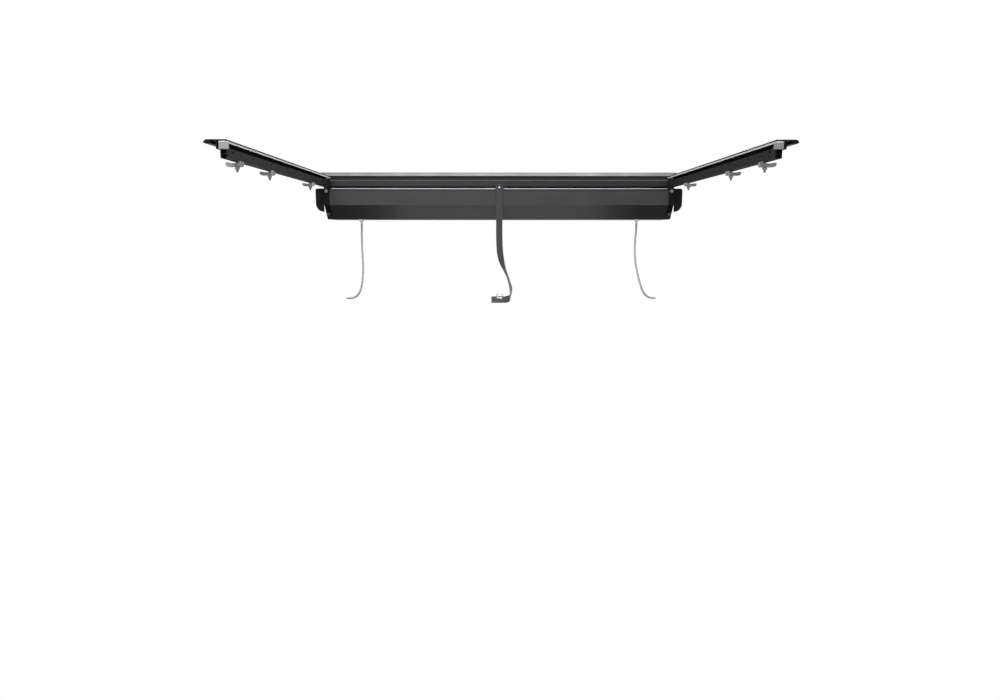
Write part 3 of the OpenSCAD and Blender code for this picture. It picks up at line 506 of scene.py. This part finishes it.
def round_rings(line, radius, sides=12, closed=False, across=Vector((0, 1, 0))):
    """Rings of a round wire or tube along a line."""
    rings = []
    for p, ahead in zip(line, headings(line, closed)):
        u = (across - across.dot(ahead) * ahead).normalized()
        v = ahead.cross(u)
        rings.append([p + radius * (math.cos(a) * u + math.sin(a) * v)
                      for a in (2 * math.pi * k / sides for k in range(sides))])
    return rings


def turned(bm, profile, place, sides=32):
    """Turns a profile of (radius, height) points about an axis that a matrix puts in place."""
    rings = [[place @ Vector((r * math.cos(a), r * math.sin(a), z))
              for a in (2 * math.pi * k / sides for k in range(sides))] for r, z in profile]
    skin(bm, rings)


def extruded(bm, outline, x0, x1):
    """Runs an outline of (y, z) points along X."""
    skin(bm, [[Vector((x, y, z)) for y, z in outline] for x in (x0, x1)])


# ---- pull strap ----

def strap_frames(steps=6):
    """Smooth points of the strap: place, direction across, normal and thickness."""
    places = smooth_line([Vector(p[:3]) for p in STRAP_ROUTE], steps)
    widths = smooth_line([Vector(p[3:6]).normalized() for p in STRAP_ROUTE], steps)
    layers = smooth_line([Vector((p[6], 0, 0)) for p in STRAP_ROUTE], steps)
    frames = []
    for place, ahead, wide, layer in zip(places, headings(places), widths, layers):
        across = (wide - wide.dot(ahead) * ahead).normalized()
        frames.append((place, across, ahead.cross(across), layer.x * MM))
    return frames


def strap_outline(width, thick):
    """Half of the strap's outline: thicker woven edges, and a nick between the layers where it is doubled."""
    nick = max(0.0, thick - 2.2 * MM) / 2
    half = width / 2
    return [
        (0.0, thick * 0.44), (half * 0.6, thick * 0.45), (half - 2.5 * MM, thick * 0.46),
        (half - 1.4 * MM, thick * 0.5), (half - 0.5 * MM, thick * 0.46), (half, thick * 0.3),
        (half - nick, 0.0),
    ]


def make_strap(sizes):
    bm = bmesh.new()
    uv = bm.loops.layers.uv.new("Weave")
    frames = strap_frames()
    rings, marks = [], {}
    along = 0.0
    for i, (place, across, out, thick) in enumerate(frames):
        if i:
            along += (place - frames[i - 1][0]).length
        top = strap_outline(sizes.strap_width, thick)
        outline = top + [(u, -v) for u, v in top[-2::-1]]
        outline += [(-u, v) for u, v in outline[-2:0:-1]]
        rings.append([place + u * across + v * out for u, v in outline])
        marks[i] = [(u, along) for u, v in outline]
    rows = skin(bm, rings)
    spot = {v: marks[i][j] for i, row in enumerate(rows) for j, v in enumerate(row)}
    for face in bm.faces:
        for loop in face.loops:
            loop[uv].uv = spot[loop.vert]
    strap = new_piece("pull_strap_webbing", bm, "webbing", "cover", smooth_under=60)
    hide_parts("pull_strap")
    return strap, [frame[0] for frame in frames]


def make_stitching(sizes):
    """Rows of stitches along both edges of the doubled length, on each side of the ring."""
    frames = [f for f in strap_frames(steps=40) if f[3] > 4.6 * MM]
    bm = bmesh.new()
    inset = sizes.strap_width / 2 - 4 * MM
    stitch = sizes.thread_pitch * 0.7
    travelled, due = 0.0, 0.0
    for (here, across, out, thick), (there, *_) in zip(frames, frames[1:]):
        ahead = (there - here).normalized()
        if travelled >= due:
            due += sizes.thread_pitch
            for u in (-inset, inset):
                for face in (-1, 1):
                    middle = here + u * across + face * (thick / 2) * out
                    line = [middle + t * stitch * ahead + face * h * out
                            for t, h in ((-0.5, -0.3 * MM), (-0.25, 0), (0.25, 0), (0.5, -0.3 * MM))]
                    skin(bm, round_rings(line, sizes.thread_size / 2, sides=6, across=across))
        travelled += (there - here).length
    return new_piece("strap_stitching", bm, "webbing", "cover", look="thread")


def make_ring():
    """A D-ring of bent wire round the doubled strap."""
    points = [Vector((RING_RADIUS * math.cos(a), 0, RING_LEG + RING_RADIUS * math.sin(a)))
              for a in (math.pi * k / 16 for k in range(17))]
    corner = 4 * MM
    for s, start in ((-1, math.pi), (1, 1.5 * math.pi)):
        centre = Vector((s * (RING_RADIUS - corner), 0, corner))
        points += [centre + corner * Vector((math.cos(a), 0, math.sin(a)))
                   for a in (start + math.pi / 2 * k / 5 for k in range(6))]
    line = [RING_CENTRE + p for p in points]
    bm = bmesh.new()
    skin(bm, round_rings(line, RING_WIRE, closed=True), closed=True)
    ring = new_piece("strap_ring_wire", bm, "zinc", "cover", smooth_under=60)
    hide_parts("strap_ring")
    return ring


def make_rivet():
    """A domed rivet with its washer, on the lead bar's tab."""
    low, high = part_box("strap_rivet")
    centre = (low + high) / 2
    head = (high.x - low.x) / 2
    face = low.y + 2.5 * MM
    place = Matrix.Translation((centre.x, face, centre.z)) @ Matrix.Rotation(math.pi / 2, 4, "X")
    dome = [(head * math.sin(a), 0.9 * MM + 1.6 * MM * math.cos(a))
            for a in (math.pi / 2 * k / 8 for k in range(1, 9))]
    bm = bmesh.new()
    turned(bm, [(0.05 * MM, 2.5 * MM)] + dome + [(head, 0), (2.5 * MM, 0), (2.5 * MM, face - high.y)], place)
    rivet = new_piece("strap_rivet_head", bm, "zinc", "cover")
    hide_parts("strap_rivet")
    return rivet


class TONNEAU_OT_pull_strap(bpy.types.Operator):
    """Makes the pull strap with its stitching, D-ring and rivet"""

    bl_idname = "tonneau.pull_strap"
    bl_label = "Pull strap"

    def execute(self, context):
        sizes = context.scene.cover_sizes
        strap, path = make_strap(sizes)
        pieces = [make_ring(), make_stitching(sizes)]
        make_rivet()
        return {"FINISHED"}


# ---- drains ----

class TONNEAU_OT_drains(bpy.types.Operator):
    """Makes the drain tubes"""

    bl_idname = "tonneau.drains"
    bl_label = "Drain tubes"

    def execute(self, context):
        sizes = context.scene.cover_sizes
        for side, route in DRAIN_ROUTES.items():
            line = smooth_line([Vector(p) for p in route], 4)
            outside = round_rings(line, sizes.tube_outside / 2, sides=20)
            inside = round_rings(line, sizes.tube_outside / 2 - sizes.tube_wall, sides=20)
            bm = bmesh.new()
            skin(bm, outside + inside[::-1], closed=True)
            tube = new_piece(f"drain_tube_{side}_vinyl", bm, "vinyl", "frame", smooth_under=60)
            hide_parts(f"drain_tube_{side}")
        return {"FINISHED"}


# ---- rails ----

class TONNEAU_OT_rails(bpy.types.Operator):
    """Finishes the side rails with their strips, seals and end blocks"""

    bl_idname = "tonneau.rails"
    bl_label = "Side rails"

    def execute(self, context):
        sizes = context.scene.cover_sizes
        for node in both("rail"):
            rounded(node, sizes.edge_round * 0.6, look="anodised")
        for node in both("rail_end_cap"):
            rounded(node, sizes.edge_round)
        for node in both("rail_seal"):
            rounded(node, sizes.edge_round)
        # The strips' pale finish is partly a painted highlight along the rails' inner lip
        refinish(*both("rail_strip"))
        return {"FINISHED"}


def make_bolts_and_nuts(sizes):
    """T-bolts with rolled threads, each with its nut, under the rails' clamps."""
    low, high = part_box("clamp_bolts")
    rounded("clamp_nuts", sizes.bolt_round)
    bm = bmesh.new()
    radius = 4 * MM
    head = Vector((13, 20, 5)) * MM
    thread_length = 26 * MM
    groove = 0.6 * sizes.screw_pitch
    clamp_boxes = [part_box(f"clamp_{side}_{i}") for side in SIDES for i in (1, 2, 3)]
    for near, far in clamp_boxes:
        y = (near.y + far.y) / 2
        side = math.copysign(1, near.x)
        x = side * (high.x - head.x / 2)
        profile = [(0.05 * MM, low.z), (radius - groove, low.z)]
        z = low.z + 0.5 * MM
        while z < low.z + thread_length:
            profile += [(radius, z), (radius - groove, z + sizes.screw_pitch / 2)]
            z += sizes.screw_pitch
        profile += [(radius, z), (radius, high.z - head.z), (0.05 * MM, high.z - head.z)]
        turned(bm, profile, Matrix.Translation((x, y, 0)), sides=20)
        block = bmesh.ops.create_cube(bm, size=1, matrix=Matrix.Translation((x, y, high.z - head.z / 2))
                                      @ Matrix.Diagonal((*head, 1)))
        edges = {e for v in block["verts"] for e in v.link_edges}
        bmesh.ops.bevel(bm, geom=list(edges), offset=sizes.bolt_round, segments=2, affect="EDGES",
                        profile=0.5)
    bolts = new_piece("clamp_bolts_threaded", bm, "zinc", "frame")
    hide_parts("clamp_bolts")


class TONNEAU_OT_clamps(bpy.types.Operator):
    """Finishes the cast clamps and makes their bolts and nuts"""

    bl_idname = "tonneau.clamps"
    bl_label = "Clamps"

    def execute(self, context):
        sizes = context.scene.cover_sizes
        for side in SIDES:
            for i in (1, 2, 3):
                rounded(f"clamp_{side}_{i}", sizes.cast_round, segments=3)
        make_bolts_and_nuts(sizes)
        return {"FINISHED"}


# ---- canister ----

class TONNEAU_OT_canister(bpy.types.Operator):
    """Finishes the canister's panels, ends, brackets, tracks and fittings"""

    bl_idname = "tonneau.canister"
    bl_label = "Canister"

    def execute(self, context):
        sizes = context.scene.cover_sizes
        panels = ["canister_front_panel", "canister_rear_panel", "canister_bottom_tray", "canister_lip"]
        for node in panels + both("canister_end") + both("corner_bracket"):
            rounded(node, sizes.edge_round)
        rounded("drain_fittings", sizes.bolt_round)
        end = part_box("lid")[1].x
        inner = rounded("bracket_bolts", sizes.button_round, segments=4, suffix="bright")
        keep_only(inner, lambda middle: abs(middle.x) < end)
        # The outer bracket bolts take the bracket steel's near-black, which is partly painted shade
        outer = rounded("bracket_bolts", sizes.button_round, segments=4, suffix="black", look="steel_black")
        keep_only(outer, lambda middle: abs(middle.x) > end)
        refinish(*both("spiral_track"), "slat_guides", "stored_slats")
        return {"FINISHED"}


class TONNEAU_OT_lid(bpy.types.Operator):
    """Finishes the lid with its end caps, screws and wiper"""

    bl_idname = "tonneau.lid"
    bl_label = "Lid"

    def execute(self, context):
        sizes = context.scene.cover_sizes
        rounded("lid", sizes.edge_round * 1.5, segments=3)
        for node in both("lid_end_cap"):
            rounded(node, sizes.edge_round * 1.5, segments=3)
        # The lid screws take the bracket steel's near-black, which is partly painted shade
        rounded("lid_screws", sizes.bolt_round * 0.6, look="steel_black")
        rounded("lid_wiper", sizes.edge_round)
        return {"FINISHED"}


# ---- curtain ----

def slat_profile(y0, y1, top, thick, sizes):
    """Outline of a section: crowned slats with a groove at each joint, over an even underside."""
    upper = []
    width = (y1 - y0) / SLATS_PER_SECTION
    gap = sizes.joint_width / 2
    steps = 6
    for i in range(SLATS_PER_SECTION):
        start = y0 + i * width + (gap if i else 0)
        end = y0 + (i + 1) * width - (gap if i < SLATS_PER_SECTION - 1 else 0)
        if i:
            upper.append((start - gap, top - sizes.joint_depth))
        for k in range(steps + 1):
            t = k / steps
            upper.append((start + (end - start) * t, top - sizes.slat_crown * (2 * t - 1) ** 2))
    return upper + [(y1, top - thick), (y0, top - thick)]


class TONNEAU_OT_curtain(bpy.types.Operator):
    """Makes the flat sections of the slat curtain"""

    bl_idname = "tonneau.curtain"
    bl_label = "Curtain"

    def execute(self, context):
        sizes = context.scene.cover_sizes
        flat_low, flat_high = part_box("curtain_section_7")
        thick = flat_high.z - flat_low.z
        for k in SECTIONS:
            low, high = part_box(f"curtain_section_{k}")
            bm = bmesh.new()
            extruded(bm, slat_profile(flat_low.y, flat_high.y, high.z, thick, sizes), low.x, high.x)
            if k == 1:
                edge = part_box("lead_bar")[1].x
                hook = [(low.y, high.z), (flat_low.y, high.z), (flat_low.y, high.z - thick),
                        (low.y + thick, high.z - thick), (low.y + thick, low.z), (low.y, low.z)]
                extruded(bm, hook, -edge, edge)
            section = new_piece(f"curtain_section_{k}_slats", bm, "slat", BODY_OF[f"curtain_section_{k}"],
                                smooth_under=25)
            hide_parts(f"curtain_section_{k}")
        return {"FINISHED"}


# ---- lead bar ----

class TONNEAU_OT_lead_bar(bpy.types.Operator):
    """Finishes the lead bar with its seal, carriages, rollers and lock"""

    bl_idname = "tonneau.lead_bar"
    bl_label = "Lead bar"

    def execute(self, context):
        sizes = context.scene.cover_sizes
        rounded("lead_bar", sizes.edge_round)
        for node in both("bar_carriage") + ["lock_cylinder", "lock_cam", "roller_axles"] + both("latch_rod"):
            rounded(node, sizes.bolt_round * 0.6)
        for side in SIDES:
            for i in (1, 2):
                rounded(f"roller_{side}_{i}", sizes.bolt_round * 0.6, look="moulding")
        refinish("bar_seal")
        return {"FINISHED"}


# ---- stage ----

def soft_box(name, place, aim, size, power):
    """A soft rectangular lamp that looks at a point."""
    lamp = bpy.data.lights.new(name, "AREA")
    lamp.shape = "RECTANGLE"
    lamp.size, lamp.size_y = size
    lamp.energy = power
    holder = bpy.data.objects.new(name, lamp)
    holder.visible_camera = False
    holder.location = place
    holder.rotation_euler = (Vector(aim) - Vector(place)).to_track_quat("-Z", "Y").to_euler()
    bpy.context.scene.collection.objects.link(holder)


class TONNEAU_OT_camera(bpy.types.Operator):
    """Places the camera behind the open tailgate, a little above the bed floor"""

    bl_idname = "tonneau.camera"
    bl_label = "Camera"

    def execute(self, context):
        view = bpy.data.cameras.new("Camera")
        view.sensor_width = 36
        view.lens = context.scene.cover_sizes.lens / MM
        view.clip_end = 100
        camera = bpy.data.objects.new("Camera", view)
        camera.location = CAMERA_PLACE
        camera.rotation_euler = (math.radians(90) - CAMERA_DOWN, 0, -CAMERA_RIGHT)
        context.scene.collection.objects.link(camera)
        context.scene.camera = camera
        return {"FINISHED"}


class TONNEAU_OT_stage(bpy.types.Operator):
    """Makes the floor, pale to the camera only, the soft lamps and light that is stronger from behind"""

    bl_idname = "tonneau.stage"
    bl_label = "Stage and light"

    def execute(self, context):
        bm = bmesh.new()
        bmesh.ops.create_grid(bm, x_segments=8, y_segments=8, size=30)
        bmesh.ops.translate(bm, verts=bm.verts, vec=(0, 0, FLOOR_Z))
        mesh = bpy.data.meshes.new("studio_floor")
        bm.to_mesh(mesh)
        bm.free()
        mesh.materials.append(finish("floor"))
        floor = bpy.data.objects.new("studio_floor", mesh)
        context.scene.collection.objects.link(floor)
        soft_box("Overhead soft box", (0, -1.9, 3.2), (0, -0.6, 0), (3.4, 1.7), 360)
        soft_box("Rear fill", (-0.8, -4.6, 1.2), (0, -0.3, -0.1), (1.6, 0.8), 30)
        soft_box("Front fill", (0.6, 3.6, 2.4), (0, 0, 0), (2.4, 1.6), 90)
        soft_box("Rear bounce card", (0, -0.3, CARD_Z), (0, -0.3, 0), (1.15, 0.5), 2.2)
        soft_box("Front bounce card", (0, 1.5, CARD_Z), (0, 1.5, 0), (4.0, 2.2), 24)
        for name, side in SIDES.items():
            soft_box(f"{name.capitalize()} bounce card", (side * 2.3, -0.7, CARD_Z),
                     (side * 2.3, -0.7, 0), (2.4, 2.4), 18)
        world = bpy.data.worlds.new("Studio light")
        world.use_nodes = True
        tree = world.node_tree
        ahead = add(tree, "ShaderNodeSeparateXYZ", {
            "Vector": add(tree, "ShaderNodeTexCoord").outputs["Generated"]}).outputs["Y"]
        level = add(tree, "ShaderNodeMapRange", {
            "Value": ahead, "From Min": -1.0, "From Max": 1.0, "To Min": 0.6, "To Max": 0.18})
        pale = add(tree, "ShaderNodeBackground", {"Strength": 1.0})
        soft = add(tree, "ShaderNodeBackground", {"Strength": level.outputs["Result"]})
        for shader in (pale, soft):
            shader.inputs["Color"].default_value = linear("#ffffff")
        both_ways = seen_or_lit(tree, pale.outputs["Background"], soft.outputs["Background"])
        tree.links.new(both_ways, tree.nodes["World Output"].inputs["Surface"])
        context.scene.world = world
        context.scene.view_settings.view_transform = "Standard"
        return {"FINISHED"}


OPERATORS = (
    TONNEAU_OT_camera,
    TONNEAU_OT_pull_strap,
    TONNEAU_OT_drains,
    TONNEAU_OT_rails,
    TONNEAU_OT_clamps,
    TONNEAU_OT_canister,
    TONNEAU_OT_lid,
    TONNEAU_OT_curtain,
    TONNEAU_OT_lead_bar,
    TONNEAU_OT_stage,
)


class TONNEAU_PT_panel(bpy.types.Panel):
    """Lists the cover's settings and what makes each of its pieces"""

    bl_idname = "TONNEAU_PT_panel"
    bl_label = "Tonneau cover"
    bl_space_type = "VIEW_3D"
    bl_region_type = "UI"
    bl_category = "Tonneau cover"

    def draw(self, context):
        for group in (context.scene.cover_sizes, context.scene.cover_colours):
            box = self.layout.box()
            for name in group.__annotations__:
                box.prop(group, name)
        for operator in OPERATORS:
            self.layout.operator(operator.bl_idname)


CLASSES = (CoverSizes, CoverColours) + OPERATORS + (TONNEAU_PT_panel,)


def register():
    for made in CLASSES:
        bpy.utils.register_class(made)
    bpy.types.Scene.cover_sizes = PointerProperty(type=CoverSizes)
    bpy.types.Scene.cover_colours = PointerProperty(type=CoverColours)


def unregister():
    del bpy.types.Scene.cover_colours
    del bpy.types.Scene.cover_sizes
    for made in reversed(CLASSES):
        bpy.utils.unregister_class(made)


def main():
    """Makes every piece in order."""
    register()
    for operator in OPERATORS:
        group, name = operator.bl_idname.split(".")
        getattr(getattr(bpy.ops, group), name)()
    bpy.context.view_layer.update()


if __name__ == "__main__":
    main()
